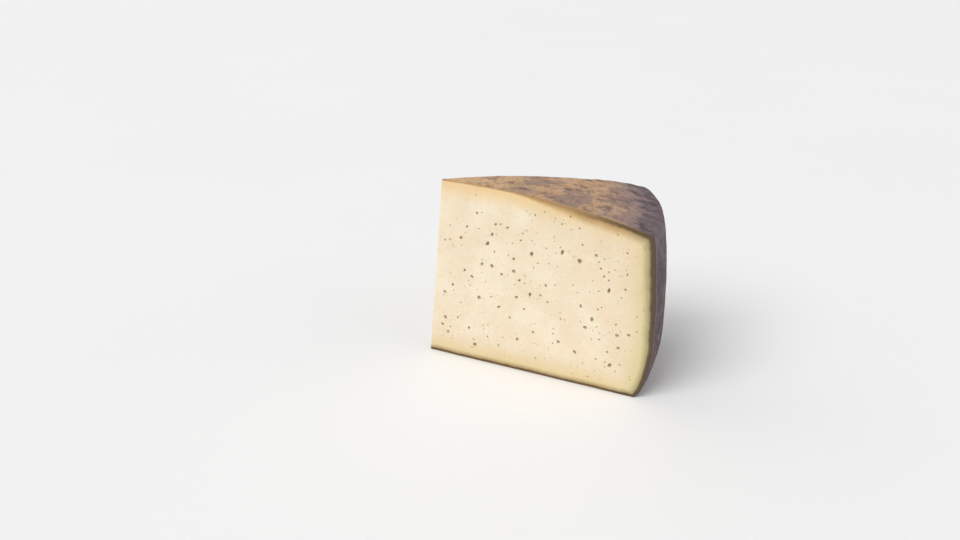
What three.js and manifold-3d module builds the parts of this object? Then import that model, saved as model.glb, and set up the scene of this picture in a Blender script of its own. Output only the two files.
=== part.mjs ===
import * as THREE from 'three';
import { mergeVertices } from 'three/addons/utils/BufferGeometryUtils.js';
import Module from 'manifold-3d';

// A wedge of asiago cheese, cut from a whole wheel. Lengths are in millimetres, angles in degrees.
// +Z is up and +X runs from the thin edge at the wheel's axis to the rind of the heel.

// The wheel that the wedge was cut from
const WHEEL_RADIUS = 168.5;
const AXIS_HEIGHT = 133.8;
const CROWN_DROP = 19.5;
const CROWN_POWER = 2.3;

// The heel, which is fullest low down and draws in towards the top and the foot
const FULLEST = 0.3;
const FOOT_ROUND = 5;
const FOOT_POWER = 2.2;
const FOOT_DRAW_IN = 3;
const SHOULDER_ROUND = 5;
const SHOULDER_POWER = 2;
const TOP_DRAW_IN = 7.5;
const TOP_DRAW_POWER = 1.3;

// The cut
const WEDGE_ANGLE = 40.4;
const LEAN = 0.08;

// How finely the surface is faceted
const HEEL_STEPS = 11;
const CROWN_STEPS = 12;
const DEGREES_PER_FACET = 2.525;
const EYE_SIDES = 8;
const EYE_RINGS = 4;

// The eyes, which are the small holes that gas left in the paste
const EYES_ON_A_FACE = 58;
const EYE_WIDTH_LEAST = 1.8;
const EYE_WIDTH_MOST = 3.4;
const EYE_WIDTH_POWER = 1.7;
const EYE_FLATNESS_LEAST = 0.6;
const EYE_DEPTH = 0.55;
const EYE_SINK = 0.12;
const EYE_GAP = 3;
const TIP_MARGIN = 9;
const HEEL_MARGIN = 15;
const CRUST_MARGIN = 18;
const FOOT_MARGIN = 12;
const FRONT_SEED = 1847;
const BACK_SEED = 5021;

// The largest eyes of the front face: distance from the thin edge, height above the foot, width
const LARGE_FRONT_EYES = [
  [12, 29, 3.0], [10, 23, 2.6], [16, 56, 2.4], [31, 65, 3.0], [38, 50, 3.2], [38, 76, 2.6],
  [46, 76, 3.2], [41, 92, 3.4], [20, 93, 2.8], [24, 102, 2.4], [31, 113, 2.2], [46, 107, 2.2],
  [55, 106, 2.2], [54, 71, 2.4], [62, 84, 2.6], [63, 75, 2.8], [68, 69, 2.4], [75, 90, 3.6],
  [77, 60, 3.2], [67, 56, 2.8], [71, 24, 2.6], [88, 69, 2.6], [97, 95, 3.6], [110, 91, 3.6],
  [121, 97, 2.4], [133, 74, 3.4], [115, 59, 2.6], [124, 51, 3.2], [120, 44, 2.8], [102, 29, 3.0],
  [115, 24, 3.2], [141, 20, 3.4], [143, 43, 2.6], [151, 45, 2.6], [145, 34, 2.4],
];

const wasm = await Module();
wasm.setup();

const halfAngle = THREE.MathUtils.degToRad(WEDGE_ANGLE / 2);

// Height of the domed top at a distance from the wheel's axis
function crownHeight(radius) {
  return AXIS_HEIGHT - CROWN_DROP * (radius / WHEEL_RADIUS) ** CROWN_POWER;
}

// Half of the wheel's section: flat base, rounded foot, heel, rounded shoulder and domed top
function wheelSection() {
  const outline = [new THREE.Vector2(0, 0)];
  const addHeelPoint = (radius, share) => {
    outline.push(new THREE.Vector2(radius, share * crownHeight(radius)));
  };
  for (let step = 0; step <= HEEL_STEPS; step += 1) {
    const turn = (Math.PI / 2) * (step / HEEL_STEPS);
    const share = FULLEST - FULLEST * Math.cos(turn) ** (2 / FOOT_POWER);
    const rounding = FOOT_ROUND * (1 - Math.sin(turn) ** (2 / FOOT_POWER));
    const drawIn = FOOT_DRAW_IN * (1 - share / FULLEST) ** 2;
    addHeelPoint(WHEEL_RADIUS - rounding - drawIn, share);
  }
  for (let step = 1; step <= HEEL_STEPS; step += 1) {
    const turn = (Math.PI / 2) * (step / HEEL_STEPS);
    const rise = Math.sin(turn) ** (2 / SHOULDER_POWER);
    const across = step === HEEL_STEPS ? 0 : Math.cos(turn) ** (2 / SHOULDER_POWER);
    const rounding = SHOULDER_ROUND * (1 - across);
    const drawIn = TOP_DRAW_IN * rise ** TOP_DRAW_POWER;
    addHeelPoint(WHEEL_RADIUS - rounding - drawIn, FULLEST + (1 - FULLEST) * rise);
  }
  const crownEdge = WHEEL_RADIUS - SHOULDER_ROUND - TOP_DRAW_IN;
  for (let step = CROWN_STEPS - 1; step >= 0; step -= 1) {
    const radius = crownEdge * (step / CROWN_STEPS);
    outline.push(new THREE.Vector2(radius, crownHeight(radius)));
  }
  return outline;
}

// Random numbers from 0 to 1 that come out the same on every run
function seededDraw(seed) {
  let state = seed;
  return () => {
    state = (state * 48271) % 2147483647;
    return state / 2147483647;
  };
}

// Places and sizes of the eyes on one cut face: the given ones first, then drawn ones that keep apart
function scatterEyes(seed, given) {
  const draw = seededDraw(seed);
  const eyes = given.map(([along, up, width]) => ({ along, up, width }));
  while (eyes.length < EYES_ON_A_FACE) {
    const along = TIP_MARGIN + (WHEEL_RADIUS - HEEL_MARGIN - TIP_MARGIN) * draw();
    const up = FOOT_MARGIN + (crownHeight(along) - CRUST_MARGIN - FOOT_MARGIN) * draw();
    const width = EYE_WIDTH_LEAST + (EYE_WIDTH_MOST - EYE_WIDTH_LEAST) * draw() ** EYE_WIDTH_POWER;
    const isClear = eyes.every((eye) => {
      const distance = Math.hypot(eye.along - along, eye.up - up);
      return distance > (eye.width + width) / 2 + EYE_GAP;
    });
    if (isClear) {
      eyes.push({ along, up, width });
    }
  }
  for (const eye of eyes) {
    eye.flatness = EYE_FLATNESS_LEAST + (1 - EYE_FLATNESS_LEAST) * draw();
    eye.turn = Math.PI * draw();
  }
  return eyes;
}

// Makes a solid from a closed three.js geometry
function toSolid(geometry) {
  const bare = geometry.clone();
  bare.deleteAttribute('normal');
  bare.deleteAttribute('uv');
  const merged = mergeVertices(bare, 1e-4);
  const vertProperties = new Float32Array(merged.attributes.position.array);
  const triVerts = new Uint32Array(merged.index.array);
  return new wasm.Manifold(new wasm.Mesh({ numProp: 3, vertProperties, triVerts }));
}

// Makes a three.js geometry from a solid
function toGeometry(solid) {
  const mesh = solid.getMesh();
  const geometry = new THREE.BufferGeometry();
  geometry.setAttribute('position', new THREE.BufferAttribute(mesh.vertProperties.slice(), 3));
  geometry.setIndex(new THREE.BufferAttribute(mesh.triVerts.slice(), 1));
  geometry.computeVertexNormals();
  return geometry;
}

// The whole wheel, turned so that one ring of facets is centred on the +X axis
function wheelGeometry() {
  const facets = 2 * Math.round(180 / DEGREES_PER_FACET);
  const geometry = new THREE.LatheGeometry(wheelSection(), facets);
  geometry.rotateX(Math.PI / 2);
  return geometry;
}

// A triangular block that covers the wedge's plan, taller than the wheel
function knifeGeometry() {
  const reach = 2 * WHEEL_RADIUS;
  const plan = new THREE.Shape();
  plan.moveTo(0, 0);
  plan.lineTo(reach * Math.cos(halfAngle), -reach * Math.sin(halfAngle));
  plan.lineTo(reach * Math.cos(halfAngle), reach * Math.sin(halfAngle));
  plan.closePath();
  const height = 2 * AXIS_HEIGHT;
  const geometry = new THREE.ExtrudeGeometry(plan, { depth: height, bevelEnabled: false });
  geometry.translate(0, 0, -height / 4);
  return geometry;
}

// The wedge leans: each height is pushed outwards in proportion, and both cut faces stay flat
function leanMatrix() {
  return new THREE.Matrix4().set(1, 0, LEAN, 0, 0, 1, 0, 0, 0, 0, 1, 0, 0, 0, 0, 1);
}

// One eye: a flattened ball sunk into the cut face that lies at the given angle from +X
function eyeGeometry(eye, faceAngle) {
  const alongFace = new THREE.Vector3(Math.cos(faceAngle), Math.sin(faceAngle), 0);
  const upFace = new THREE.Vector3(LEAN, 0, 1).normalize();
  const outward = new THREE.Vector3().crossVectors(alongFace, upFace).normalize();
  if (faceAngle > 0) {
    outward.negate();
  }
  const downFace = new THREE.Vector3().crossVectors(alongFace, outward);
  const turned = new THREE.Matrix4().makeBasis(alongFace, outward, downFace);
  const centre = alongFace.clone().multiplyScalar(eye.along);
  centre.add(new THREE.Vector3(LEAN * eye.up, 0, eye.up));
  centre.addScaledVector(outward, -EYE_SINK * eye.width);
  const geometry = new THREE.SphereGeometry(1, EYE_SIDES, EYE_RINGS);
  geometry.scale(eye.width / 2, EYE_DEPTH * eye.width, (eye.flatness * eye.width) / 2);
  geometry.rotateY(eye.turn);
  geometry.applyMatrix4(turned);
  geometry.translate(centre.x, centre.y, centre.z);
  return geometry;
}

// The wedge: a sector of the wheel, leaned, with its eyes cut out
function cutWedge() {
  const sector = toSolid(wheelGeometry()).intersect(toSolid(knifeGeometry()));
  let wedge = toSolid(toGeometry(sector).applyMatrix4(leanMatrix()));
  for (const eye of scatterEyes(FRONT_SEED, LARGE_FRONT_EYES)) {
    wedge = wedge.subtract(toSolid(eyeGeometry(eye, -halfAngle)));
  }
  for (const eye of scatterEyes(BACK_SEED, [])) {
    wedge = wedge.subtract(toSolid(eyeGeometry(eye, halfAngle)));
  }
  return toGeometry(wedge);
}

const wedgeGeometry = cutWedge();
wedgeGeometry.computeBoundingBox();
const { min, max } = wedgeGeometry.boundingBox;

const paste = new THREE.MeshStandardMaterial({ color: 0xf0dfba, roughness: 0.55, metalness: 0 });
const wedge = new THREE.Mesh(wedgeGeometry, paste);
wedge.name = 'cheese_wedge';

// The origin is the middle of the base, at table height
wedge.position.set(-(min.x + max.x) / 2, -(min.y + max.y) / 2, -min.z);

const part = new THREE.Group();
part.name = 'asiago_wedge';
part.add(wedge);

export default part;
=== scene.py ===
import math
from collections import namedtuple

import bmesh
import bpy
import numpy as np
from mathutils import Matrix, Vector


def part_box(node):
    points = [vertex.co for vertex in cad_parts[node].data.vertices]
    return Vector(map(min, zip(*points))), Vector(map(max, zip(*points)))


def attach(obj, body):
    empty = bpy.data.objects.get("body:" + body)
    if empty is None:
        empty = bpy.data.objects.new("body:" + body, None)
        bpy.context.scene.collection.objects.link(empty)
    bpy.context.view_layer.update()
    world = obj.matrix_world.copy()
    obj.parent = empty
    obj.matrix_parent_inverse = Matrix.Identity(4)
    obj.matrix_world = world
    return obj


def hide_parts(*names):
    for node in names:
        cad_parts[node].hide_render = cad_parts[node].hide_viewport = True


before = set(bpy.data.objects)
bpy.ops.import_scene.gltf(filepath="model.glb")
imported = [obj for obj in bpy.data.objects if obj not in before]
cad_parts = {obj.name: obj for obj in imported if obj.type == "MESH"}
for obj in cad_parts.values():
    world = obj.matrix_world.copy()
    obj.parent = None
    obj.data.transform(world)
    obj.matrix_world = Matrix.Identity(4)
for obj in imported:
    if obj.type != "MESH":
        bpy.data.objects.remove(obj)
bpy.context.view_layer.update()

NODE = "cheese_wedge"
BODY = "cheese_wedge_body"
MM = 0.001

# The wedge is one closed grid of rings with its eyes cut out of it. Each vertex keeps how deep it lies
# under the rind and the cut, and the two materials colour the rind and the paste by those depths.

# Sizes of the wedge, in millimetres and degrees, as the solid has them
WHEEL_RADIUS = 168.5
AXIS_HEIGHT = 133.8
CROWN_DROP = 19.5
CROWN_POWER = 2.3
FULLEST = 0.3
FOOT_ROUND = 5
FOOT_POWER = 2.2
FOOT_DRAW_IN = 3
SHOULDER_ROUND = 5
SHOULDER_POWER = 2
TOP_DRAW_IN = 7.5
TOP_DRAW_POWER = 1.3
HALF_ANGLE = math.radians(20.2)
LEAN = 0.08

# The small roundings of the cut's edges, in millimetres
TIP_ROUND = 0.7
CORNER_ROUND = 0.9
RIM_ROUND = 0.45
RIM_ROWS = 5
RIM_CLEARANCE = 1.3

# Spacing of the mesh, in millimetres or as counts
FACE_STEP = 1.6
HEEL_STEP = 1.3
WALL_ROWS = 100
TOP_ROWS = 58
BASE_ROWS = 8
ARC_POINTS = 6
PROFILE_SAMPLES = 1500
DEPTH_ROWS = 400
END_CROWDING = 2.5
END_CROWDING_REACH = 5
WELD_GAP = 0.001
SHARP_FROM = math.radians(50)

# Where the rings of the top and the base meet, as a share of the wheel's radius
CAP_MIDDLE = 0.64

# Relief of the surfaces: how strong each kind is, and the size of its features, in millimetres
RIND_SWELL = 0.5
RIND_SWELL_SIZE = 40
RIND_DENT = 0.4
RIND_DENT_SIZE = 13
RIND_DENT_LEVELS = (0.05, 0.95)
RIND_RIPPLE = 0.16
RIND_RIPPLE_SIZE = 5
CUT_WAVE = 0.16
CUT_WAVE_SIZE = 30
CUT_RIPPLE = 0.05
CUT_RIPPLE_SIZE = 4
CUT_RIPPLE_STRETCH = 0.35
CUT_FACES_APART = 40
CROWN_SEED = 3
HEEL_SEED = 13
CUT_WAVE_SEED = 7
CUT_RIPPLE_SEED = 8

# Where the relief of a cut face fades in and out, where the face ends, and how much of it is still paste
TIP_FADE = (1, 8)
CORNER_FADE = (WHEEL_RADIUS - 8, WHEEL_RADIUS - 2)
FACE_END = (0.8, 7)
PASTE_LEAST = 0.93

# Eyes of the paste, in millimetres, placed by the same rule as in the solid
EYES_ON_A_FACE = 58
EYE_WIDTH_LEAST = 1.8
EYE_WIDTH_MOST = 3.4
EYE_WIDTH_POWER = 1.7
EYE_FLATNESS_LEAST = 0.6
EYE_DEPTH = 0.55
EYE_SINK = 0.12
EYE_GAP = 3
TIP_MARGIN = 9
HEEL_MARGIN = 15
CRUST_MARGIN = 18
FOOT_MARGIN = 12
FRONT_SEED = 1847
BACK_SEED = 5021

# The largest eyes of the front face: distance from the thin edge, height above the foot, width
LARGE_FRONT_EYES = (
    (12, 29, 3.0), (10, 23, 2.6), (16, 56, 2.4), (31, 65, 3.0), (38, 50, 3.2), (38, 76, 2.6),
    (46, 76, 3.2), (41, 92, 3.4), (20, 93, 2.8), (24, 102, 2.4), (31, 113, 2.2), (46, 107, 2.2),
    (55, 106, 2.2), (54, 71, 2.4), (62, 84, 2.6), (63, 75, 2.8), (68, 69, 2.4), (75, 90, 3.6),
    (77, 60, 3.2), (67, 56, 2.8), (71, 24, 2.6), (88, 69, 2.6), (97, 95, 3.6), (110, 91, 3.6),
    (121, 97, 2.4), (133, 74, 3.4), (115, 59, 2.6), (124, 51, 3.2), (120, 44, 2.8), (102, 29, 3.0),
    (115, 24, 3.2), (141, 20, 3.4), (143, 43, 2.6), (151, 45, 2.6), (145, 34, 2.4),
)

# Pinholes, finer than the eyes, in millimetres
PINHOLES_ON_A_FACE = 320
PINHOLE_LEAST = 0.6
PINHOLE_MOST = 1.9
PINHOLE_POWER = 1.8
PINHOLE_FLATNESS_LEAST = 0.5
PINHOLE_GAP = 0.7
PINHOLE_MARGIN = 7
PINHOLE_SEEDS = (733, 9161)

# The balls that cut the eyes: rows and columns of each one's mesh, and the waves that make it lumpy
EYE_MESH = (9, 18)
PINHOLE_MESH = (5, 9)
LUMP_OF_TWO = 0.11
LUMP_OF_THREE = 0.07
LUMP_TURNS = (7.1, 3.7)
LUMP_SPREAD = 40

# Thickness of the rind where it is cut, in millimetres: mid-top, round the rim, at the foot and at the base.
# At the base the value also takes in painted contact shadow along the floor.
RIND_AT_AXIS = 0.6
RIND_AT_RIM = 3.4
RIND_AT_FOOT = 2.5
# At the base: real rind plus painted contact shadow, drawn as a thicker dark band
RIND_AND_SHADE_AT_BASE = 1.8

# Where the rind changes: distances from the wheel's axis, shares of the height, and heights
TOP_RIND_THICKENS = (50, 115)
TOP_RIND_DARKENS = (90, 145)
HEEL_BEGINS = (WHEEL_RADIUS - 34, WHEEL_RADIUS - 12)
SHOULDER_BEGINS = (WHEEL_RADIUS - 30, WHEEL_RADIUS - 15)
SHOULDER_SHARES = (0.84, 0.96)
HEEL_RIND_THICKENS = (20, 95)
BASE_RIND_PALES = (10, 40)

# The depths between which the dried paste ends, and how dry it gets at the top and the base
DRY_UNDER_HEEL = (2, 21)
DRY_UNDER_ENDS = (1, 17)
DRYNESS_OF_ENDS = 0.75

# How straw-coloured the paste dries at the base, and the heights between which that fades
BASE_STRAW = 0.55
BASE_STRAW_FADES = (25, 60)

# The camera, in millimetres from the foot of the thin edge, and in degrees
CAMERA_PLACE = (112.4, -596.8, 307.2)
CAMERA_AZIMUTH = 7.03
CAMERA_PITCH = 21.85
CAMERA_LENS = 33.46
CAMERA_SENSOR = 36

# The lights: the way each one shines, its strength and its width in degrees
SUNS = (
    ("key", (0.5, 0.6, -0.8), 1.7, 40),
    ("back_fill", (0.6, -0.7, -0.4), 0.4, 70),
    ("side_fill", (-0.9, 0.25, -0.45), 0.4, 50),
)
SURROUND = 0.44
SURROUND_SEEN = 0.88

# Half the side of the floor, in metres
FLOOR_REACH = 12.0

low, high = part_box(NODE)
TIP = np.array([low.x, (low.y + high.y) / 2, low.z])


class SeededDraw:
    """Random numbers from 0 to 1 that come out the same on every run."""

    def __init__(self, seed):
        self.state = seed

    def __call__(self):
        self.state = self.state * 48271 % 2147483647
        return self.state / 2147483647


def new_object(name, data):
    """An object in the scene that shows the given data."""
    made = bpy.data.objects.new(name, data)
    bpy.context.scene.collection.objects.link(made)
    return made


def between(first, second, share):
    """The value that lies a share of the way from the first to the second."""
    return first + (second - first) * share


def smooth_step(value, start, end):
    """0 before start, 1 after end, and 3t^2 - 2t^3 between them."""
    t = np.clip((value - start) / (end - start), 0, 1)
    return t * t * (3 - 2 * t)


def lattice_value(cell, seed):
    """A fixed pseudo-random number from -1 to 1 for each whole-number cell."""
    mixed = cell[..., 0] * 374761393 + cell[..., 1] * 668265263 + cell[..., 2] * 1274126177 + seed * 69069
    mixed = (mixed ^ (mixed >> 13)) & 0x7FFFFFFF
    mixed = (mixed * 1103515245 + 12345) & 0x7FFFFFFF
    mixed = (mixed ^ (mixed >> 11)) * 48271 & 0x7FFFFFFF
    return mixed / 0x3FFFFFFF - 1


def noise(points, size, seed):
    """Smooth noise from -1 to 1: lattice values a size apart, blended by smooth steps in x, y and z."""
    scaled = np.asarray(points) / size
    cell = np.floor(scaled).astype(np.int64)
    t = scaled - cell
    t = t * t * (3 - 2 * t)
    total = 0
    for corner in np.ndindex(2, 2, 2):
        weight = np.prod(np.where(corner, t, 1 - t), axis=-1)
        total = total + weight * lattice_value(cell + np.array(corner), seed)
    return total


def crown_height(radius):
    """The axis height less the crown's drop times the radius, as a share of the wheel's, to a power."""
    return AXIS_HEIGHT - CROWN_DROP * (np.clip(radius, 0, None) / WHEEL_RADIUS) ** CROWN_POWER


def heel_profile(rows):
    """The heel from foot to shoulder, as radii and as shares of the height there, evenly along the curve.

    Two quarter superellipses meet at the fullest point: the foot below and the shoulder above.
    Both also draw in by a power of the distance from that point. Steps are closer at the ends.
    """
    turn = np.linspace(0, np.pi / 2, PROFILE_SAMPLES)
    low_share = FULLEST - FULLEST * np.cos(turn) ** (2 / FOOT_POWER)
    low_radius = WHEEL_RADIUS - FOOT_ROUND * (1 - np.sin(turn) ** (2 / FOOT_POWER))
    low_radius -= FOOT_DRAW_IN * (1 - low_share / FULLEST) ** 2
    rise = np.sin(turn[1:]) ** (2 / SHOULDER_POWER)
    across = np.clip(np.cos(turn[1:]), 0, 1) ** (2 / SHOULDER_POWER)
    high_share = FULLEST + (1 - FULLEST) * rise
    high_radius = WHEEL_RADIUS - SHOULDER_ROUND * (1 - across) - TOP_DRAW_IN * rise**TOP_DRAW_POWER
    radius = np.concatenate([low_radius, high_radius])
    share = np.concatenate([low_share, high_share])
    height = share * crown_height(radius)
    length = np.concatenate([[0], np.cumsum(np.hypot(np.diff(radius), np.diff(height)))])
    from_end = np.minimum(length, length[-1] - length)
    crowding = np.cumsum(1 + END_CROWDING * np.exp(-from_end / END_CROWDING_REACH))
    even = np.linspace(crowding[0], crowding[-1], rows)
    place = np.interp(even, crowding, length)
    return np.interp(place, length, radius), np.interp(place, length, share)


def arc_normals(start, end):
    """Unit vectors in plan at even angles between two others, without the ends."""
    angle = np.linspace(start, end, ARC_POINTS)[1:-1]
    return np.stack([np.cos(angle), np.sin(angle)], -1)


def plan_outline():
    """The wedge from above at full radius, counterclockwise from the thin edge, with its inward normals.

    Two straight faces and the heel's arc, joined by small arcs at the two corners and the thin edge.
    Also gives each point's side: -1 on the front face, 1 on the back face and 0 elsewhere.
    """
    tip_start = TIP_ROUND / math.tan(HALF_ANGLE)
    corner_turn = math.asin(CORNER_ROUND / (WHEEL_RADIUS - CORNER_ROUND))
    corner_reach = (WHEEL_RADIUS - CORNER_ROUND) * math.cos(corner_turn)
    along = np.linspace(tip_start, corner_reach, round((corner_reach - tip_start) / FACE_STEP))
    face = np.stack([along * math.cos(HALF_ANGLE), -along * math.sin(HALF_ANGLE)], -1)
    face_normal = np.tile([-math.sin(HALF_ANGLE), -math.cos(HALF_ANGLE)], (len(along), 1))

    middle_angle = -HALF_ANGLE + corner_turn
    middle_way = np.array([math.cos(middle_angle), math.sin(middle_angle)])
    corner_normal = arc_normals(-math.pi / 2 - HALF_ANGLE, middle_angle)
    corner = (WHEEL_RADIUS - CORNER_ROUND) * middle_way + CORNER_ROUND * corner_normal

    heel_angle = HALF_ANGLE - corner_turn
    heel_count = round(2 * heel_angle * WHEEL_RADIUS / HEEL_STEP)
    heel_turn = np.linspace(-heel_angle, heel_angle, heel_count)
    heel_normal = np.stack([np.cos(heel_turn), np.sin(heel_turn)], -1)
    heel = WHEEL_RADIUS * heel_normal

    tip_normal = arc_normals(math.pi / 2 + HALF_ANGLE, 3 * math.pi / 2 - HALF_ANGLE)
    tip = np.array([TIP_ROUND / math.sin(HALF_ANGLE), 0]) + TIP_ROUND * tip_normal

    mirror = np.array([1, -1])
    points = np.concatenate([face, corner, heel, corner[::-1] * mirror, face[::-1] * mirror, tip])
    back_corner_normal = corner_normal[::-1] * mirror
    back_face_normal = face_normal[::-1] * mirror
    outward = np.concatenate(
        [face_normal, corner_normal, heel_normal, back_corner_normal, back_face_normal, tip_normal]
    )
    on_heel = np.zeros(2 * len(corner) + len(heel))
    on_tip = np.zeros(len(tip))
    side = np.concatenate([-np.ones(len(face)), on_heel, np.ones(len(face)), on_tip])
    return points, -outward, side


def rind_relief(points, seed):
    """The rind's unevenness in millimetres: slow swells, less dents where noise is high, and ripples."""
    swells = RIND_SWELL * noise(points, RIND_SWELL_SIZE, seed)
    dents = RIND_DENT * smooth_step(noise(points, RIND_DENT_SIZE, seed + 1), *RIND_DENT_LEVELS)
    ripples = RIND_RIPPLE * noise(points, RIND_RIPPLE_SIZE, seed + 2)
    return swells - dents + ripples


def heel_relief(angle, height):
    """The heel's unevenness over each angle round the wheel and height."""
    return rind_relief(np.stack([angle * WHEEL_RADIUS, np.zeros_like(angle), height], -1), HEEL_SEED)


def crown_surface(x, y):
    """The height of the top over each place in plan: the crown's height and the rind's unevenness."""
    relief = rind_relief(np.stack([x, y, np.zeros_like(x)], -1), CROWN_SEED)
    return crown_height(np.hypot(x, y)) + relief


def cut_relief(along, height, side):
    """Slow waves and fine drawn-out ripples that the wire left across a cut face, in millimetres."""
    across = np.broadcast_to(CUT_FACES_APART * side, height.shape)
    plain = np.stack([along, across, height], -1)
    drawn = np.stack([along * CUT_RIPPLE_STRETCH, across, height], -1)
    waves = CUT_WAVE * noise(plain, CUT_WAVE_SIZE, CUT_WAVE_SEED)
    return waves + CUT_RIPPLE * noise(drawn, CUT_RIPPLE_SIZE, CUT_RIPPLE_SEED)


def lean_and_place(x, y, z):
    """Pushes each height outwards in proportion, goes to metres and moves to the frame's place."""
    return np.stack([x + LEAN * z, y, z], -1) * MM + TIP


def wall_rows():
    """The rows of the walls, as shares of the height, with the heel's radius and the faces' inset at each.

    Near both rims the inset curves inwards by a quarter circle.
    """
    radius, share = heel_profile(WALL_ROWS)
    quarter = np.linspace(0, math.pi / 2, RIM_ROWS + 1)
    rim_share = RIM_ROUND * (1 - np.sin(quarter)) / AXIS_HEIGHT
    clearance = rim_share[0] * RIM_CLEARANCE
    inner = (share > clearance) & (share < 1 - clearance)
    rows = np.concatenate([rim_share[::-1], share[inner], 1 - rim_share])
    bend = RIM_ROUND * (1 - np.cos(quarter))
    inset = np.concatenate([bend[::-1], np.zeros(inner.sum()), bend])
    return rows, np.interp(rows, share, radius), inset


def wall_rings(outline, inward, side, on_face):
    """Rings up the walls: the plan outline scaled to the heel's radius at each row.

    A point's height is the row's share of the crown's height over it. The heel swells outwards by its
    relief, and a cut face is pushed inwards by its own and by the rim's inset.
    """
    rows, radius, inset = wall_rows()
    angle = np.arctan2(outline[:, 1], outline[:, 0])
    reach = np.hypot(outline[:, 0], outline[:, 1])
    height = rows[:, None] * crown_height(reach)[None, :]
    swell = heel_relief(np.broadcast_to(angle, height.shape), height)
    scale = (radius[:, None] + swell) / WHEEL_RADIUS
    push = cut_relief(reach * scale, height, side) * (side != 0) * smooth_step(reach, *TIP_FADE)
    push = push * (1 - smooth_step(reach, *CORNER_FADE))
    offset = inset[:, None] * on_face + push
    x = outline[:, 0] * scale + inward[:, 0] * offset
    y = outline[:, 1] * scale + inward[:, 1] * offset
    z = rows[:, None] * crown_surface(x, y)
    return np.stack([x, y, z], -1)


def cut_face_share(outline):
    """1 along the cut faces and round the thin edge, easing to 0 a little way past each corner."""
    reach = np.hypot(outline[:, 0], outline[:, 1])
    angle = np.abs(np.arctan2(outline[:, 1], outline[:, 0]))
    past_corner = HALF_ANGLE * WHEEL_RADIUS - angle * WHEEL_RADIUS
    return np.where(reach < WHEEL_RADIUS / 2, 1, 1 - smooth_step(past_corner, *FACE_END))


def wedge_rings():
    """Rings of the whole surface, from the middle of the base up the walls and over the top.

    The rings of the top and of the base shrink evenly towards the middle of the plan.
    Also gives the two poles, and which rows and columns of the rings lie on the cut faces.
    """
    outline, inward, side = plan_outline()
    on_face = cut_face_share(outline)
    walls = wall_rings(outline, inward, side, on_face)

    middle = np.array([WHEEL_RADIUS * CAP_MIDDLE, 0])
    top_share = np.linspace(1, 0, TOP_ROWS + 1)[1:-1]
    top_xy = middle + (walls[-1, :, :2] - middle) * top_share[:, None, None]
    top_z = crown_surface(top_xy[..., 0], top_xy[..., 1])
    top = np.concatenate([top_xy, top_z[..., None]], -1)
    base_share = np.linspace(0, 1, BASE_ROWS + 1)[1:-1]
    base_xy = middle + (walls[0, :, :2] - middle) * base_share[:, None, None]
    base = np.concatenate([base_xy, np.zeros(base_xy.shape[:2] + (1,))], -1)
    rings = np.concatenate([base, walls, top])

    south = (*middle, 0.0)
    north = (*middle, float(crown_surface(middle[:1], middle[1:])[0]))
    paste_row = np.zeros(len(rings), bool)
    first = len(base) + RIM_ROWS // 2
    last = len(base) + len(walls) - RIM_ROWS // 2 - 1
    paste_row[first:last] = True
    return rings, south, north, paste_row, on_face > PASTE_LEAST


def grid_faces(rows, columns):
    """Quads between neighbouring rings, which close on themselves, counted from vertex 1."""
    row, column = np.meshgrid(np.arange(rows - 1), np.arange(columns), indexing="ij")
    here = 1 + row * columns + column
    beside = 1 + row * columns + (column + 1) % columns
    return np.stack([here, beside, beside + columns, here + columns], -1).reshape(-1, 4)


def pole_faces(ring_start, columns, pole, upper):
    """A fan of triangles from a ring to its pole."""
    here = ring_start + np.arange(columns)
    beside = ring_start + (np.arange(columns) + 1) % columns
    corners = (here, beside) if upper else (beside, here)
    return np.stack([*corners, np.full(columns, pole)], -1)


def closed_mesh(name, rings, south, north):
    """A closed mesh from rings of points between two poles."""
    rows, columns = rings.shape[:2]
    points = np.concatenate([[south], rings.reshape(-1, 3), [north]])
    last = len(points) - 1
    quads = grid_faces(rows, columns)
    lower = pole_faces(1, columns, 0, False)
    upper = pole_faces(1 + (rows - 1) * columns, columns, last, True)
    mesh = bpy.data.meshes.new(name)
    mesh.from_pydata(points.tolist(), [], quads.tolist() + lower.tolist() + upper.tolist())
    return mesh


def scatter_eyes(seed, given):
    """Places and sizes of the eyes on one face: the given ones first, then drawn ones that keep apart."""
    draw = SeededDraw(seed)
    eyes = [[along, up, width] for along, up, width in given]
    while len(eyes) < EYES_ON_A_FACE:
        along = TIP_MARGIN + (WHEEL_RADIUS - HEEL_MARGIN - TIP_MARGIN) * draw()
        up = FOOT_MARGIN + (crown_height(along) - CRUST_MARGIN - FOOT_MARGIN) * draw()
        width = between(EYE_WIDTH_LEAST, EYE_WIDTH_MOST, draw() ** EYE_WIDTH_POWER)
        if all(math.hypot(e[0] - along, e[1] - up) > (e[2] + width) / 2 + EYE_GAP for e in eyes):
            eyes.append([along, up, width])
    for eye in eyes:
        eye.append(between(EYE_FLATNESS_LEAST, 1, draw()))
        eye.append(math.pi * draw())
    return eyes


def scatter_pinholes(seed, eyes):
    """Finer holes between the eyes, clear of them and of each other."""
    draw = SeededDraw(seed)
    taken = [eye[:3] for eye in eyes]
    holes = []
    while len(holes) < PINHOLES_ON_A_FACE:
        along = PINHOLE_MARGIN + (WHEEL_RADIUS - 2 * PINHOLE_MARGIN) * draw()
        up = PINHOLE_MARGIN + (crown_height(along) - 2 * PINHOLE_MARGIN) * draw()
        width = between(PINHOLE_LEAST, PINHOLE_MOST, draw() ** PINHOLE_POWER)
        if all(math.hypot(t[0] - along, t[1] - up) > (t[2] + width) / 2 + PINHOLE_GAP for t in taken):
            taken.append([along, up, width])
            flatness = between(PINHOLE_FLATNESS_LEAST, 1, draw())
            holes.append([along, up, width, flatness, math.pi * draw()])
    return holes


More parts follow.
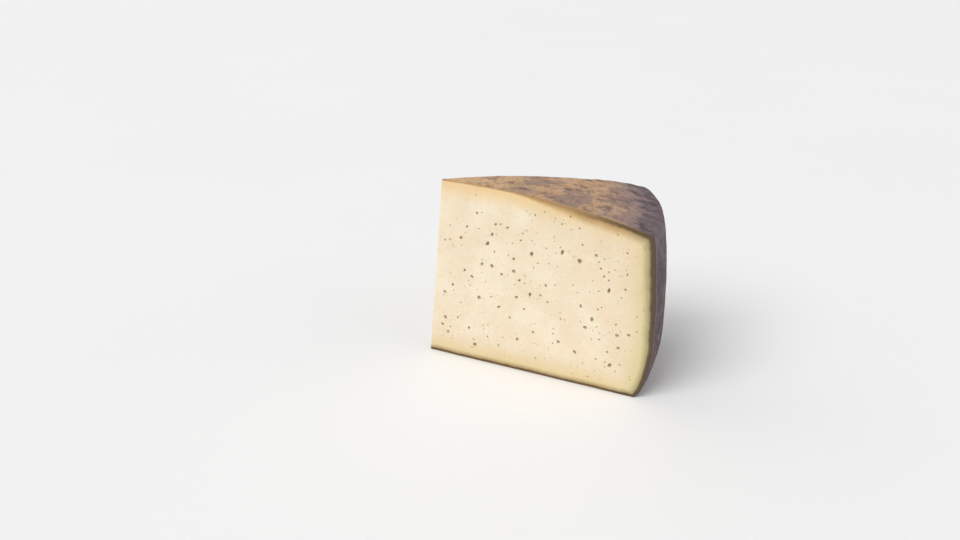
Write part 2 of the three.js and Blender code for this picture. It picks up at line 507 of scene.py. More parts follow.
def eye_rings(eyes, side, mesh_size, seed):
    """Lumpy flattened balls in the cut face: rings from pole to pole, for all the given eyes at once.

    Each is a sphere whose radius swells by two low waves round its axis, scaled to the eye's width,
    height and depth, turned in the face, and sunk a little below it.
    """
    rows, columns = mesh_size
    along, up, width, flatness, turn = (column[:, None, None] for column in np.array(eyes).T)
    phase = LUMP_SPREAD * np.array([[math.sin(seed + t * k) for t in LUMP_TURNS] for k in range(len(eyes))])
    polar = np.linspace(0, math.pi, rows + 2)[None, :, None]
    round_axis = np.linspace(0, 2 * math.pi, columns, endpoint=False)[None, None, :]
    two_lumps = LUMP_OF_TWO * np.sin(2 * round_axis + phase[:, :1, None])
    three_lumps = LUMP_OF_THREE * np.sin(3 * round_axis + phase[:, 1:, None])
    swell = 1 + (two_lumps + three_lumps) * np.sin(polar)
    ball_x = np.sin(polar) * np.cos(round_axis) * swell * width / 2
    ball_y = np.sin(polar) * np.sin(round_axis) * swell * width / 2 * flatness
    depth = np.cos(polar) * EYE_DEPTH * width + 0 * round_axis
    across = ball_x * np.cos(turn) - ball_y * np.sin(turn) + along
    upward = ball_x * np.sin(turn) + ball_y * np.cos(turn) + up
    outward = depth - EYE_SINK * width
    angle = side * HALF_ANGLE
    x = across * math.cos(angle) - outward * math.sin(angle) * side
    y = across * math.sin(angle) + outward * math.cos(angle) * side
    return lean_and_place(x, y, upward)


def eyes_mesh(name, groups):
    """One mesh with all the balls of several groups of rings, each ball closed by fans at its poles.

    A group whose rings run the other way round has its faces turned over, so that all point outwards.
    """
    points, quads, triangles, start = [], [], [], 0
    for rings, turned_over in groups:
        count, rows, columns = rings.shape[:3]
        shells = rings[:, 1:-1].reshape(count, -1, 3)
        shells = np.concatenate([rings[:, :1, 0], shells, rings[:, -1:, 0]], axis=1)
        size = shells.shape[1]
        offset = start + size * np.arange(count)[:, None, None]
        quad = grid_faces(rows - 2, columns)[None] + offset
        lower = pole_faces(1, columns, 0, False)[None] + offset
        upper = pole_faces(1 + (rows - 3) * columns, columns, size - 1, True)[None] + offset
        if turned_over:
            quad, lower, upper = quad[..., ::-1], lower[..., ::-1], upper[..., ::-1]
        points.append(shells.reshape(-1, 3))
        quads.append(quad.reshape(-1, 4))
        triangles += [lower.reshape(-1, 3), upper.reshape(-1, 3)]
        start += size * count
    mesh = bpy.data.meshes.new(name)
    faces = np.concatenate(quads).tolist() + np.concatenate(triangles).tolist()
    mesh.from_pydata(np.concatenate(points).tolist(), [], faces)
    return mesh


def make_balls():
    """One object with the balls that cut the eyes and pinholes of both faces."""
    groups = []
    for side, seed, given, pinhole_seed in (
        (-1, FRONT_SEED, LARGE_FRONT_EYES, PINHOLE_SEEDS[0]),
        (1, BACK_SEED, (), PINHOLE_SEEDS[1]),
    ):
        eyes = scatter_eyes(seed, given)
        holes = scatter_pinholes(pinhole_seed, eyes)
        groups.append((eye_rings(eyes, side, EYE_MESH, seed), side < 0))
        groups.append((eye_rings(holes, side, PINHOLE_MESH, pinhole_seed), side < 0))
    return new_object("eyes", eyes_mesh("eyes", groups))


def weld(mesh):
    """Joins points that coincide, as the cut leaves where a ball only just meets an edge."""
    shell = bmesh.new()
    shell.from_mesh(mesh)
    bmesh.ops.remove_doubles(shell, verts=shell.verts[:], dist=WELD_GAP * MM)
    shell.to_mesh(mesh)
    shell.free()


def cut_eyes(wedge):
    """Takes the eyes and pinholes out of the wedge, drops their balls, and gives the wedge's new mesh."""
    balls = make_balls()
    cut = wedge.modifiers.new("eyes", "BOOLEAN")
    cut.operation = "DIFFERENCE"
    cut.solver = "MANIFOLD"
    cut.object = balls
    evaluated = wedge.evaluated_get(bpy.context.evaluated_depsgraph_get())
    mesh = bpy.data.meshes.new_from_object(evaluated)
    wedge.modifiers.clear()
    wedge.data = mesh
    bpy.data.objects.remove(balls)
    weld(mesh)
    return mesh


def mark_depths(mesh):
    """Marks each vertex with its depths, its place round the wheel, and how near the heel it is.

    Depth under the rind is the least of the distances to the top, the base and the heel, each as a
    share of the rind's thickness there, times the thickness at the rim, in millimetres.
    Depth under the cut is the distance in from the nearer cut face, in millimetres.
    Heel side is 0 over the middle of the top and 1 past the rim.
    Shoulder is 1 along the rounding between the top and the heel, and 0 a little way from it.
    Dryness is how far the paste has dried towards the rind: 1 at the heel, less at the top and base.
    Straw is how greenish the dried band is: 1 at the heel, less at the base, and 0 under the top.
    Rind age is 0 over the middle of the top, where the cut rind is pale, and 1 at the rim and the base;
    along the base its dark band is partly real rind and partly painted contact shadow.
    Around is the radius, the length of arc and the height on the wheel, in metres.
    """
    points = np.empty(len(mesh.vertices) * 3, np.float32)
    mesh.vertices.foreach_get("co", points)
    x, y, z = ((points.reshape(-1, 3) - TIP) / MM).T
    x = x - LEAN * z
    radius = np.hypot(x, y)
    top = crown_height(radius)
    profile_radius, profile_share = heel_profile(DEPTH_ROWS)
    heel = np.interp(z / top, profile_share, profile_radius)

    top_rind = between(RIND_AT_AXIS, RIND_AT_RIM, smooth_step(radius, *TOP_RIND_THICKENS))
    heel_rind = between(RIND_AT_FOOT, RIND_AT_RIM, smooth_step(z, *HEEL_RIND_THICKENS))
    # The base's depth uses a thickness that includes painted contact shadow
    rind_depths = [(top - z) / top_rind, z / RIND_AND_SHADE_AT_BASE, (heel - radius) / heel_rind]
    heel_side = smooth_step(radius, *HEEL_BEGINS)
    dry_heel = 1 - smooth_step(heel - radius, *DRY_UNDER_HEEL)
    dry_ends = DRYNESS_OF_ENDS * (1 - smooth_step(np.minimum(top - z, z), *DRY_UNDER_ENDS))
    base_straw = BASE_STRAW * (1 - smooth_step(z, *BASE_STRAW_FADES))
    aged_rim = smooth_step(radius, *TOP_RIND_DARKENS)
    # Dark cut rind along the base: partly the rind's own colour, partly painted contact shadow
    aged_and_shaded_base = 1 - smooth_step(z, *BASE_RIND_PALES)
    marks = {
        "under_rind": np.min(rind_depths, axis=0) * RIND_AT_RIM,
        "under_cut": x * math.sin(HALF_ANGLE) - np.abs(y) * math.cos(HALF_ANGLE),
        "heel_side": heel_side,
        "shoulder": smooth_step(radius, *SHOULDER_BEGINS) * smooth_step(z / top, *SHOULDER_SHARES),
        "dryness": np.maximum(dry_heel, dry_ends),
        "straw": np.maximum(heel_side, base_straw),
        "rind_age_and_base_shade": np.maximum(aged_rim, aged_and_shaded_base),
    }
    for name, values in marks.items():
        attribute = mesh.attributes.new(name, "FLOAT", "POINT")
        attribute.data.foreach_set("value", values.astype(np.float32))
    around = np.stack([radius, np.arctan2(y, x) * WHEEL_RADIUS, z], -1) * MM
    attribute = mesh.attributes.new("around", "FLOAT_VECTOR", "POINT")
    attribute.data.foreach_set("vector", around.astype(np.float32).ravel())


def make_wedge():
    """The wedge as one piece: its skin, with the eyes cut out of it and its depths marked."""
    rings, south, north, paste_row, paste_column = wedge_rings()
    placed = lean_and_place(rings[..., 0], rings[..., 1], rings[..., 2])
    mesh = closed_mesh(BODY, placed, lean_and_place(*south), lean_and_place(*north))
    is_paste = paste_row[:-1, None] & paste_column[None, :]
    rind_index = np.concatenate([~is_paste.reshape(-1), np.ones(2 * rings.shape[1], bool)])
    mesh.materials.append(paste_material())
    mesh.materials.append(rind_material())
    mesh.polygons.foreach_set("material_index", rind_index.astype(np.int32))
    wedge = new_object(BODY, mesh)
    mesh = cut_eyes(wedge)
    mesh.polygons.foreach_set("use_smooth", np.ones(len(mesh.polygons), bool))
    mesh.set_sharp_from_angle(angle=SHARP_FROM)
    mark_depths(mesh)
    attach(wedge, "root")
    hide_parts(NODE)


def linear(red, green, blue):
    """A colour as 0 to 255 on screen, turned into the linear values that shaders use."""
    share = np.array([red, green, blue]) / 255
    value = np.where(share <= 0.04045, share / 12.92, ((share + 0.055) / 1.055) ** 2.4)
    return (*value.tolist(), 1.0)


# Colours of the paste, from the body of the cheese out to the rind
PASTE = linear(240, 223, 194)
PASTE_PALE = linear(245, 231, 206)
PASTE_DEEP = linear(228, 207, 171)
STRAW = linear(220, 206, 152)
GOLD = linear(238, 204, 144)
UNDER_RIND = linear(166, 151, 114)
UNDER_RIND_GOLD = linear(188, 152, 98)
CUT_RIND = linear(93, 75, 40)
CUT_RIND_INNER = linear(174, 138, 90)
CUT_SKIN_TOP = linear(166, 136, 106)
CUT_SKIN_HEEL = linear(88, 71, 76)
# Eye walls: partly the paste's own deeper yellow, partly painted shade inside the hollows
EYE_WALL_WITH_SHADE = linear(206, 187, 150)

# Colours of the rind, from the middle of the top to the heel, and of the marks on it
RIND_TIP = linear(226, 186, 141)
RIND_INNER = linear(208, 167, 129)
RIND_OUTER = linear(158, 133, 126)
RIND_TAN = linear(214, 180, 146)
RIND_RUST = linear(166, 121, 86)
RIND_SMOKE_INNER = linear(142, 120, 112)
RIND_SMOKE = linear(138, 121, 126)
# The heel's plum hue is the rind's own; it is darker than the top's partly as painted shade on the side away
# from the light
RIND_HEEL_AND_SHADE = linear(84, 66, 75)
RIND_HEEL_PALE_AND_SHADE = linear(107, 88, 97)
RIND_HEEL_BROWN_AND_SHADE = linear(96, 73, 69)
RIND_WORN = linear(134, 122, 126)
RIND_DARK = linear(80, 64, 62)
RIND_DUST = linear(186, 175, 168)

# The two pale greys of the floor
FLOOR_PALE = (0.95, 0.95, 0.95, 1)
FLOOR_PALER = (0.96, 0.96, 0.96, 1)

# A mottling: its size in millimetres, the levels of noise it spans, its finer layers and their weight
Mottling = namedtuple("Mottling", "size low high detail rough", defaults=(3.0, 0.5))

# Clouds of colour on the rind, and how strongly each shows
TAN_CLOUDS = Mottling(16, 0.48, 0.62, 8.0, 0.62)
TAN_SHARE = 0.6
RUST_CLOUDS = Mottling(9, 0.5, 0.66, 8.0, 0.62)
RUST_SHARES = (0.35, 0.7)
SMOKE_CLOUDS = Mottling(24, 0.49, 0.62, 8.0, 0.6)
SMOKE_OUTWARD = 0.5
SMOKE_SHARE = 0.68
TIP_PALE_SHARE = 0.7
PALE_HEEL_CLOUDS = Mottling(14, 0.46, 0.6, 8.0, 0.62)
BROWN_HEEL_CLOUDS = Mottling(11, 0.5, 0.62, 8.0, 0.62)
BROWN_HEEL_SHARE = 0.7
HEEL_EDGE = Mottling(10, 0.3, 0.7, 8.0, 0.65)
HEEL_EDGE_LEVELS = (0.5, 1.2)
HEEL_SHARE = 0.95
CLOUD_WANDER = (20, 12)

# Distances from the wheel's axis, in millimetres, over which the top turns smoky, rusty and pale
TOP_SMOKY = (110, 146)
TOP_RUSTY = (60, 105)
TOP_PALEST = (80, 25)

# Marks on the rind: mottles, stretches of their place, wanderings and cells, in millimetres
STREAKS = Mottling(2.4, 0.45, 0.75, 4.0)
STREAK_STRETCH = (1.0, 0.12, 1.0)
SCUFFS = Mottling(0.7, 0.62, 0.72, 2.0)
SCUFF_STRETCH = (0.06, 1.0, 1.0)
SCUFF_WANDER = (40, 30)
FRECKLES = Mottling(3.0, 0.56, 0.7, 8.0, 0.65)
PIT_PATCHES = Mottling(12, 0.45, 0.6)
PIT_CELLS = (4.2, 0.2)
CRACK_PATCHES = Mottling(33, 0.52, 0.66)
CRACK_CELLS = (13, 0.03)
CRACK_WANDER = (6, 7)
DUST_PATCHES = Mottling(7, 0.5, 0.72, 10.0, 0.78)
DUST_AMOUNT = 0.4
RUBBED_PATCHES = Mottling(5.5, 0.52, 0.72, 6.0, 0.62)
RUBBED_STRETCH = (1.0, 0.16, 1.0)
WORN_PATCHES = Mottling(9, 0.36, 0.62, 8.0, 0.66)

# How strongly each mark tints the rind, one over the other, and how far it sinks in
MARK_TINTS = (
    ("streak", 0.3, RIND_DARK),
    ("freckle", 0.42, RIND_DARK),
    ("pit", 0.55, RIND_DARK),
    ("crack", 0.35, RIND_DARK),
    ("scuff", 0.22, RIND_DUST),
    ("dust", 0.75, RIND_DUST),
    ("rubbed", 0.35, RIND_WORN),
    ("worn", 0.6, RIND_WORN),
)
MARK_DEPTHS = (("streak", 0.5), ("freckle", 0.9), ("pit", 1.6), ("crack", 1.0), ("scuff", 0.3))

# Grain and height of the rind, the cloth that printed it, its roughness and the depth of its bump
RIND_GRAIN = Mottling(0.8, 0.2, 0.8, 4.0, 0.7)
RIND_GRAIN_SHADES = (0.88, 1.1)
FINE_RELIEF = Mottling(1.6, 0.25, 0.75, 6.0, 0.6)
LEATHERY_RELIEF = Mottling(5.5, 0.25, 0.75, 5.0, 0.62)
LEATHERY_HEIGHT = 2.0
CLOTH_PATCHES = Mottling(26, 0.36, 0.62)
CLOTH_THREAD = 1.1
CLOTH_HEIGHT = 0.2
RIND_ROUGHNESS = (0.68, 0.5)
RIND_BUMP = 0.22

# Clouds, curd and grain of the paste, its roughness on the cut and in an eye, and the depth of its bump
PASTE_CLOUDS = Mottling(22, 0.38, 0.68)
CURD = Mottling(3.0, 0.5, 0.74, 4.0)
CURD_SHARE = 0.3
PASTE_GRAIN = Mottling(0.7, 0.3, 0.7, 3.0)
TORN_CURD = Mottling(2.6, 0.35, 0.65, 3.0)
TORN_HEIGHT = 1.4
PASTE_ROUGHNESS = (0.52, 0.3)
PASTE_BUMP = 0.06

# Depths in millimetres, at the rim's scale, where one colour of the cut gives way to the next
PASTE_DEEPENS = (50.0, 12.0)
PASTE_DEEP_SHARE = 0.5
UNDER_RIND_BAND = (11.0, 3.2)
CUT_RIND_BAND = (5.1, 2.6)
CUT_SKIN_BAND = (1.9, 0.5)
CUT_SKIN_SHARE = 0.75
EYE_WALL_BAND = (0.2, 1.3)

# How the bands of the cut wander and fray, and by how many millimetres either way
BAND_WANDER = Mottling(14, 0.3, 0.7, 1.5)
BAND_WANDER_REACH = 0.35
BAND_FRAY = Mottling(3.5, 0.3, 0.7, 5.0, 0.6)
BAND_FRAY_REACH = 0.18

# The trace of unevenness in the floor
FLOOR_CLOUDS = Mottling(400, 0.3, 0.7)

# Kinds of socket, and the three outputs that both finishes have
FLOAT = "NodeSocketFloat"
COLOUR = "NodeSocketColor"
VECTOR = "NodeSocketVector"
FINISH = {"Color": COLOUR, "Roughness": FLOAT, "Height": FLOAT}


def add_node(tree, kind, **settings):
    """A shader node with its settings."""
    node = tree.nodes.new(kind)
    for name, value in settings.items():
        setattr(node, name, value)
    return node


def feed(tree, socket, value):
    """Links an output to an input socket, or sets the input's own value."""
    if isinstance(value, bpy.types.NodeSocket):
        tree.links.new(value, socket)
    else:
        socket.default_value = value


def arithmetic(tree, operation, first, second):
    """The result of one sum on two values or outputs."""
    node = add_node(tree, "ShaderNodeMath", operation=operation)
    feed(tree, node.inputs[0], first)
    feed(tree, node.inputs[1], second)
    return node.outputs[0]


def added(tree, first, second):
    """One value or output added to another."""
    return arithmetic(tree, "ADD", first, second)


def share_of(tree, mask, share):
    """A mask that reaches only a share of its strength; the share may be a mask too."""
    return arithmetic(tree, "MULTIPLY", mask, share)


def levels(tree, value, start, end, low=0.0, high=1.0):
    """A value eased from low at start to high at end."""
    node = add_node(tree, "ShaderNodeMapRange", interpolation_type="SMOOTHSTEP")
    names = ("Value", "From Min", "From Max", "To Min", "To Max")
    for name, given in zip(names, (value, start, end, low, high)):
        feed(tree, node.inputs[name], given)
    return node.outputs["Result"]


def zone(tree, metres, span, low=0.0, high=1.0):
    """The levels of a distance in metres between two places given in millimetres."""
    return levels(tree, metres, span[0] * MM, span[1] * MM, low, high)


def blend(tree, mask, first, second):
    """The first colour where the mask is 0 and the second where it is 1."""
    node = add_node(tree, "ShaderNodeMix", data_type="RGBA")
    feed(tree, node.inputs[0], mask)
    feed(tree, node.inputs[6], first)
    feed(tree, node.inputs[7], second)
    return node.outputs[2]


def scaled_colour(tree, colour, factor):
    """A colour made darker or lighter by a factor."""
    node = add_node(tree, "ShaderNodeVectorMath", operation="SCALE")
    feed(tree, node.inputs[0], colour)
    feed(tree, node.inputs["Scale"], factor)
    return node.outputs[0]


def new_group(name, inputs, outputs):
    """An empty node group with its named sockets; gives the group, its input node and its output node."""
    group = bpy.data.node_groups.new(name, "ShaderNodeTree")
    for label, kind in inputs.items():
        group.interface.new_socket(label, in_out="INPUT", socket_type=kind)
    for label, kind in outputs.items():
        group.interface.new_socket(label, in_out="OUTPUT", socket_type=kind)
    return group, group.nodes.new("NodeGroupInput"), group.nodes.new("NodeGroupOutput")


def use_group(tree, group, **inputs):
    """Places a group, with underscores in the input names standing for spaces."""
    node = tree.nodes.new("ShaderNodeGroup")
    node.node_tree = group
    for name, value in inputs.items():
        feed(tree, node.inputs[name.replace("_", " ")], value)
    return node


def mottle_group():
    """Noise of a mottling's real size, stretched between its levels: a mask for clouds, specks or grain."""
    inputs = {"Place": VECTOR, **dict.fromkeys(Mottling._fields, FLOAT)}
    group, start, end = new_group("mottle", inputs, {"Mask": FLOAT})
    field = add_node(group, "ShaderNodeTexNoise")
    feed(group, field.inputs["Vector"], start.outputs["Place"])
    feed(group, field.inputs["Scale"], arithmetic(group, "DIVIDE", 1 / MM, start.outputs["size"]))
    feed(group, field.inputs["Detail"], start.outputs["detail"])
    feed(group, field.inputs["Roughness"], start.outputs["rough"])
    mask = levels(group, field.outputs[0], start.outputs["low"], start.outputs["high"])
    feed(group, end.inputs["Mask"], mask)
    return group


MOTTLE_GROUP = mottle_group()


def mottle(tree, place, look):
    """A mask of noise that looks as the given mottling says."""
    node = use_group(tree, MOTTLE_GROUP, Place=place, **look._asdict())
    return node.outputs["Mask"]


def stretched(tree, place, scale):
    """A place whose three directions are drawn out or pressed together, for streaks."""
    node = add_node(tree, "ShaderNodeMapping")
    node.inputs["Scale"].default_value = scale
    feed(tree, node.inputs["Vector"], place)
    return node.outputs["Vector"]


def cell_mask(tree, place, feature, size, width):
    """A mask over cells of the given size in millimetres, with a width that is a share of the cell.

    With the feature F1 it is a round spot in each cell, and with DISTANCE_TO_EDGE a line round it.
    """
    cells = add_node(tree, "ShaderNodeTexVoronoi", feature=feature)
    feed(tree, cells.inputs["Vector"], place)
    feed(tree, cells.inputs["Scale"], 1 / (size * MM))
    return levels(tree, cells.outputs["Distance"], width, 0.0)


def wandering(tree, place, size, reach):
    """A place pushed by noise of the given size, by up to half the reach, so that lines turn crooked."""
    field = add_node(tree, "ShaderNodeTexNoise")
    feed(tree, field.inputs["Vector"], place)
    feed(tree, field.inputs["Scale"], 1 / (size * MM))
    push = add_node(tree, "ShaderNodeVectorMath", operation="MULTIPLY_ADD")
    feed(tree, push.inputs[0], field.outputs["Color"])
    push.inputs[1].default_value = (reach * MM,) * 3
    feed(tree, push.inputs[2], place)
    return push.outputs[0]


def cloth_imprint(tree, place, first, second):
    """The cheesecloth's print: the sine along one axis times the sine along another, a thread apart."""
    apart = add_node(tree, "ShaderNodeSeparateXYZ")
    feed(tree, apart.inputs[0], place)
    waves = []
    for axis in (first, second):
        turn = arithmetic(tree, "MULTIPLY", apart.outputs[axis], math.pi / (CLOTH_THREAD * MM))
        waves.append(arithmetic(tree, "SINE", turn, 0.0))
    return arithmetic(tree, "MULTIPLY", *waves)


def top_colour(group, place, crooked, radius):
    """The rind of the top: tan, rusty and smoky clouds, darker outwards and palest over the thin edge."""
    outward = zone(group, radius, TOP_SMOKY)
    colour = blend(group, outward, RIND_INNER, RIND_OUTER)
    tan = share_of(group, mottle(group, place, TAN_CLOUDS), TAN_SHARE)
    colour = blend(group, tan, colour, RIND_TAN)
    rusty = zone(group, radius, TOP_RUSTY, *RUST_SHARES)
    rust = share_of(group, mottle(group, crooked, RUST_CLOUDS), rusty)
    colour = blend(group, rust, colour, RIND_RUST)
    smoke = added(group, mottle(group, crooked, SMOKE_CLOUDS), share_of(group, outward, SMOKE_OUTWARD))
    smoke_tint = blend(group, outward, RIND_SMOKE_INNER, RIND_SMOKE)
    colour = blend(group, levels(group, smoke, 0.0, 1.0, 0.0, SMOKE_SHARE), colour, smoke_tint)
    # The top's colour is made paler towards the thin edge
    paler_tip = zone(group, radius, TOP_PALEST, 0.0, TIP_PALE_SHARE)
    return blend(group, paler_tip, colour, RIND_TIP)


def heel_colour_with_shade(group, place, crooked):
    """The rind of the heel: plum, with paler and browner clouds, darker than the top partly by painted shade
    on the side away from the light.
    """
    colour = blend(group, mottle(group, place, PALE_HEEL_CLOUDS), RIND_HEEL_AND_SHADE, RIND_HEEL_PALE_AND_SHADE)
    brown = share_of(group, mottle(group, crooked, BROWN_HEEL_CLOUDS), BROWN_HEEL_SHARE)
    return blend(group, brown, colour, RIND_HEEL_BROWN_AND_SHADE)


def rind_marks(group, start, crooked):
    """The masks of the marks on the rind, by name.

    Streaks and rubbed patches run round the wheel. Pits and cracks keep to patches, scuffs to the top,
    rubbed patches to the heel and worn ones to the shoulder.
    """
    place = start.outputs["Place"]
    around = start.outputs["Around"]
    heel_side = start.outputs["Heel side"]
    off_heel = arithmetic(group, "SUBTRACT", 1.0, heel_side)
    scuffed = stretched(group, wandering(group, place, *SCUFF_WANDER), SCUFF_STRETCH)
    pits = cell_mask(group, crooked, "F1", *PIT_CELLS)
    cracks = cell_mask(group, wandering(group, place, *CRACK_WANDER), "DISTANCE_TO_EDGE", *CRACK_CELLS)
    rubbed = mottle(group, stretched(group, around, RUBBED_STRETCH), RUBBED_PATCHES)
    return {
        "streak": mottle(group, stretched(group, around, STREAK_STRETCH), STREAKS),
        "freckle": mottle(group, place, FRECKLES),
        "pit": share_of(group, pits, mottle(group, place, PIT_PATCHES)),
        "crack": share_of(group, cracks, mottle(group, place, CRACK_PATCHES)),
        "scuff": share_of(group, mottle(group, scuffed, SCUFFS), off_heel),
        "dust": share_of(group, mottle(group, place, DUST_PATCHES), DUST_AMOUNT),
        "rubbed": share_of(group, rubbed, heel_side),
        "worn": share_of(group, mottle(group, place, WORN_PATCHES), start.outputs["Shoulder"]),
    }


def rind_height(group, start, marks):
    """The rind's height: fine and leathery relief, less the marks, plus the print of the cloth in patches.

    The cloth's threads lie along x and y on the top, and round and up the wheel on the heel.
    """
    place = start.outputs["Place"]
    leathery = share_of(group, mottle(group, place, LEATHERY_RELIEF), LEATHERY_HEIGHT)
    height = added(group, mottle(group, place, FINE_RELIEF), leathery)
    for name, depth in MARK_DEPTHS:
        height = added(group, height, share_of(group, marks[name], -depth))
    flat_cloth = cloth_imprint(group, place, "X", "Y")
    round_cloth = cloth_imprint(group, start.outputs["Around"], "Y", "Z")
    difference = arithmetic(group, "SUBTRACT", round_cloth, flat_cloth)
    cloth = added(group, share_of(group, difference, start.outputs["Heel side"]), flat_cloth)
    cloth = share_of(group, cloth, mottle(group, place, CLOTH_PATCHES))
    return added(group, height, share_of(group, cloth, CLOTH_HEIGHT))


def rind_group():
    """The brown rind: the colours of the top and the heel, which meet along a ragged edge, and its marks."""
    group, start, end = new_group(
        "rind_skin",
        {"Place": VECTOR, "Around": VECTOR, "Heel side": FLOAT, "Shoulder": FLOAT},
        FINISH,
    )
    place = start.outputs["Place"]
    apart = add_node(group, "ShaderNodeSeparateXYZ")
    feed(group, apart.inputs[0], start.outputs["Around"])
    crooked = wandering(group, place, *CLOUD_WANDER)
    top = top_colour(group, place, crooked, apart.outputs["X"])
    # Heel colour: plum rind, darkened partly as painted shade
    heel = heel_colour_with_shade(group, place, crooked)
    heel_edge = added(group, start.outputs["Heel side"], mottle(group, place, HEEL_EDGE))
    on_heel = levels(group, heel_edge, *HEEL_EDGE_LEVELS, 0.0, HEEL_SHARE)
    colour = blend(group, on_heel, top, heel)
    marks = rind_marks(group, start, crooked)
    for name, share, tint in MARK_TINTS:
        colour = blend(group, share_of(group, marks[name], share), colour, tint)
    grain = levels(group, mottle(group, place, RIND_GRAIN), 0.0, 1.0, *RIND_GRAIN_SHADES)
    feed(group, end.inputs["Color"], scaled_colour(group, colour, grain))
    feed(group, end.inputs["Roughness"], levels(group, marks["freckle"], 0.0, 1.0, *RIND_ROUGHNESS))
    feed(group, end.inputs["Height"], rind_height(group, start, marks))
    return group


def paste_group():
    """The cheese itself: cream with soft clouds of curd, deeper and then dried towards the rind.

    The walls of the eyes, known by their depth under the cut, are glossier, and darker: partly their own
    deeper yellow, partly painted shade in the hollows.
    """
    group, start, end = new_group(
        "paste_body",
        {"Place": VECTOR, "Under rind": FLOAT, "Under cut": FLOAT, "Dryness": FLOAT, "Straw": FLOAT},
        FINISH,
    )
    place = start.outputs["Place"]
    colour = blend(group, mottle(group, place, PASTE_CLOUDS), PASTE, PASTE_PALE)
    curd = share_of(group, mottle(group, place, CURD), CURD_SHARE)
    colour = blend(group, curd, colour, PASTE_DEEP)
    deeper = levels(group, start.outputs["Under rind"], *PASTE_DEEPENS, 0.0, PASTE_DEEP_SHARE)
    colour = blend(group, deeper, colour, PASTE_DEEP)
    dried = blend(group, start.outputs["Straw"], GOLD, STRAW)
    colour = blend(group, start.outputs["Dryness"], colour, dried)
    in_eye = levels(group, start.outputs["Under cut"], *EYE_WALL_BAND)
    # Darker colour in the eyes: partly their own deeper yellow, partly painted shade
    colour = blend(group, in_eye, colour, EYE_WALL_WITH_SHADE)
    feed(group, end.inputs["Color"], colour)
    feed(group, end.inputs["Roughness"], levels(group, in_eye, 0.0, 1.0, *PASTE_ROUGHNESS))
    torn = share_of(group, mottle(group, place, TORN_CURD), TORN_HEIGHT)
    feed(group, end.inputs["Height"], added(group, mottle(group, place, PASTE_GRAIN), torn))
    return group


RIND_GROUP = rind_group()
PASTE_GROUP = paste_group()


def read_attribute(tree, name, output="Fac"):
    """What mark_depths kept on each vertex: a number, or a place with the output Vector."""
    node = add_node(tree, "ShaderNodeAttribute", attribute_name=name)
    return node.outputs[output]


def new_material(name):
    """A material with one Principled shader; gives it, its tree, its shader and its Object coordinates."""
    material = bpy.data.materials.new(name)
    material.use_nodes = True
    tree = material.node_tree
    shader = tree.nodes["Principled BSDF"]
    place = tree.nodes.new("ShaderNodeTexCoord").outputs["Object"]
    return material, tree, shader, place


def dress(tree, shader, colour, finish, depth):
    """Gives a shader its colour, and a finish's roughness and height as a bump; depth is in millimetres."""
    bump = tree.nodes.new("ShaderNodeBump")
    bump.inputs["Distance"].default_value = depth * MM
    feed(tree, bump.inputs["Height"], finish.outputs["Height"])
    feed(tree, shader.inputs["Base Color"], colour)
    feed(tree, shader.inputs["Roughness"], finish.outputs["Roughness"])
    feed(tree, shader.inputs["Normal"], bump.outputs["Normal"])


def rind_material():
    """The outside of the wheel: top, heel and base."""
    material, tree, shader, place = new_material("rind")
    around = read_attribute(tree, "around", "Vector")
    heel_side = read_attribute(tree, "heel_side")
    shoulder = read_attribute(tree, "shoulder")
    skin = use_group(tree, RIND_GROUP, Place=place, Around=around, Heel_side=heel_side, Shoulder=shoulder)
    dress(tree, shader, skin.outputs["Color"], skin, RIND_BUMP)
    shader.inputs["Specular IOR Level"].default_value = 0.35
    return material


def cut_colour(tree, place, under_rind, straw, paste):
    """The paste's colour, over it the dried band under the rind, and over both the cut rind and its skin.

    The bands follow the depth under the rind, which wanders and frays a little.
    """
    wander = levels(tree, mottle(tree, place, BAND_WANDER), 0.0, 1.0, -BAND_WANDER_REACH, BAND_WANDER_REACH)
    fray = levels(tree, mottle(tree, place, BAND_FRAY), 0.0, 1.0, -BAND_FRAY_REACH, BAND_FRAY_REACH)
    depth = added(tree, added(tree, under_rind, wander), fray)
    under = blend(tree, straw, UNDER_RIND_GOLD, UNDER_RIND)
    colour = blend(tree, levels(tree, depth, *UNDER_RIND_BAND), paste, under)
    # Dark cut rind at the rim and the base; at the base it is partly painted contact shadow
    cut_rind = blend(tree, read_attribute(tree, "rind_age_and_base_shade"), CUT_RIND_INNER, CUT_RIND)
    skin = blend(tree, read_attribute(tree, "heel_side"), CUT_SKIN_TOP, CUT_SKIN_HEEL)
    in_skin = levels(tree, depth, *CUT_SKIN_BAND, 0.0, CUT_SKIN_SHARE)
    cut_rind = blend(tree, in_skin, cut_rind, skin)
    return blend(tree, levels(tree, depth, *CUT_RIND_BAND), colour, cut_rind)


def paste_material():
    """The cut faces: cream paste, with the dark line of the cut rind and a dried band under it."""
    material, tree, shader, place = new_material("paste")
    under_rind = read_attribute(tree, "under_rind")
    straw = read_attribute(tree, "straw")
    paste = use_group(
        tree,
        PASTE_GROUP,
        Place=place,
        Under_rind=under_rind,
        Under_cut=read_attribute(tree, "under_cut"),
        Dryness=read_attribute(tree, "dryness"),
        Straw=straw,
    )
    colour = cut_colour(tree, place, under_rind, straw, paste.outputs["Color"])
    dress(tree, shader, colour, paste, PASTE_BUMP)
    shader.inputs["Subsurface Weight"].default_value = 0.25
    shader.inputs["Subsurface Radius"].default_value = (1.0, 0.62, 0.32)
    shader.inputs["Subsurface Scale"].default_value = 3 * MM
    shader.inputs["Specular IOR Level"].default_value = 0.4
    return material


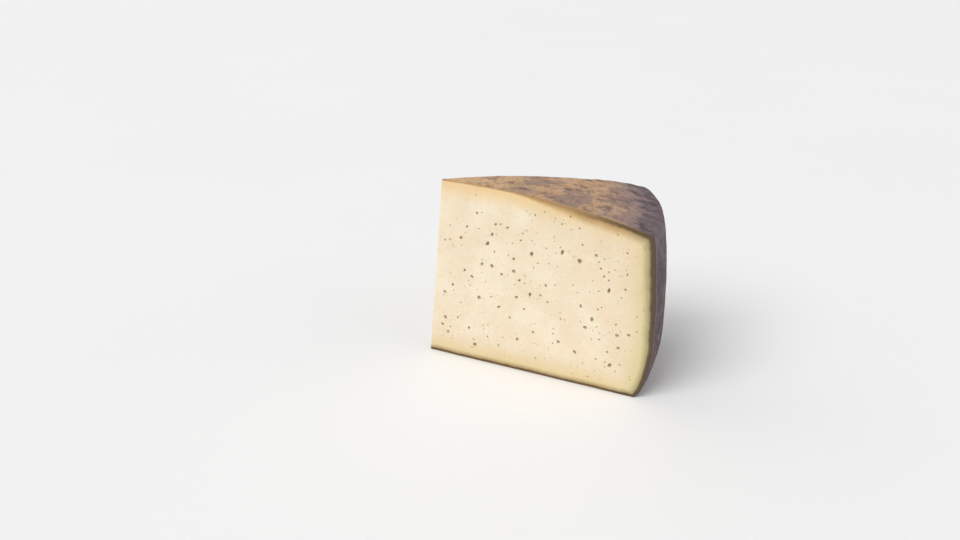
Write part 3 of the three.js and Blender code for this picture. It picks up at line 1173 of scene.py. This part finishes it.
def floor_material():
    """A plain pale matt floor, with a trace of unevenness."""
    material, tree, shader, place = new_material("floor")
    colour = blend(tree, mottle(tree, place, FLOOR_CLOUDS), FLOOR_PALE, FLOOR_PALER)
    feed(tree, shader.inputs["Base Color"], colour)
    shader.inputs["Roughness"].default_value = 0.8
    return material


def make_floor():
    """A large flat square floor at the base of the wedge."""
    turns = ((-1, -1), (1, -1), (1, 1), (-1, 1))
    corners = [(FLOOR_REACH * x, FLOOR_REACH * y, low.z) for x, y in turns]
    mesh = bpy.data.meshes.new("floor")
    mesh.from_pydata(corners, [], [(0, 1, 2, 3)])
    mesh.materials.append(floor_material())
    floor = new_object("floor", mesh)


def make_sun(name, towards, strength, softness):
    """A distant soft light that shines along the given direction; softness is its width in degrees."""
    light = bpy.data.lights.new(name, "SUN")
    light.energy = strength
    light.angle = math.radians(softness)
    lamp = new_object(name, light)
    lamp.rotation_mode = "QUATERNION"
    lamp.rotation_quaternion = Vector(towards).to_track_quat("-Z", "Y")


def make_world():
    """An even white surround, which looks as bright as the floor where it is seen behind it."""
    world = bpy.data.worlds.new("surround")
    world.use_nodes = True
    tree = world.node_tree
    background = tree.nodes["Background"]
    background.inputs["Color"].default_value = (1, 1, 1, 1)
    seen = add_node(tree, "ShaderNodeLightPath").outputs["Is Camera Ray"]
    feed(tree, background.inputs["Strength"], levels(tree, seen, 0.0, 1.0, SURROUND, SURROUND_SEEN))
    bpy.context.scene.world = world


def make_camera():
    """The camera at the photograph's viewing angle: turned round the vertical, then pitched down."""
    lens = bpy.data.cameras.new("camera")
    lens.lens = CAMERA_LENS
    lens.sensor_width = CAMERA_SENSOR
    camera = new_object("camera", lens)
    camera.location = TIP + np.array(CAMERA_PLACE) * MM
    azimuth = math.radians(CAMERA_AZIMUTH)
    pitch = math.radians(CAMERA_PITCH)
    camera.rotation_euler = (math.pi / 2 - pitch, 0, azimuth)
    bpy.context.scene.camera = camera


make_camera()
make_wedge()
make_floor()
for sun in SUNS:
    make_sun(*sun)
make_world()
bpy.context.scene.view_settings.view_transform = "Standard"
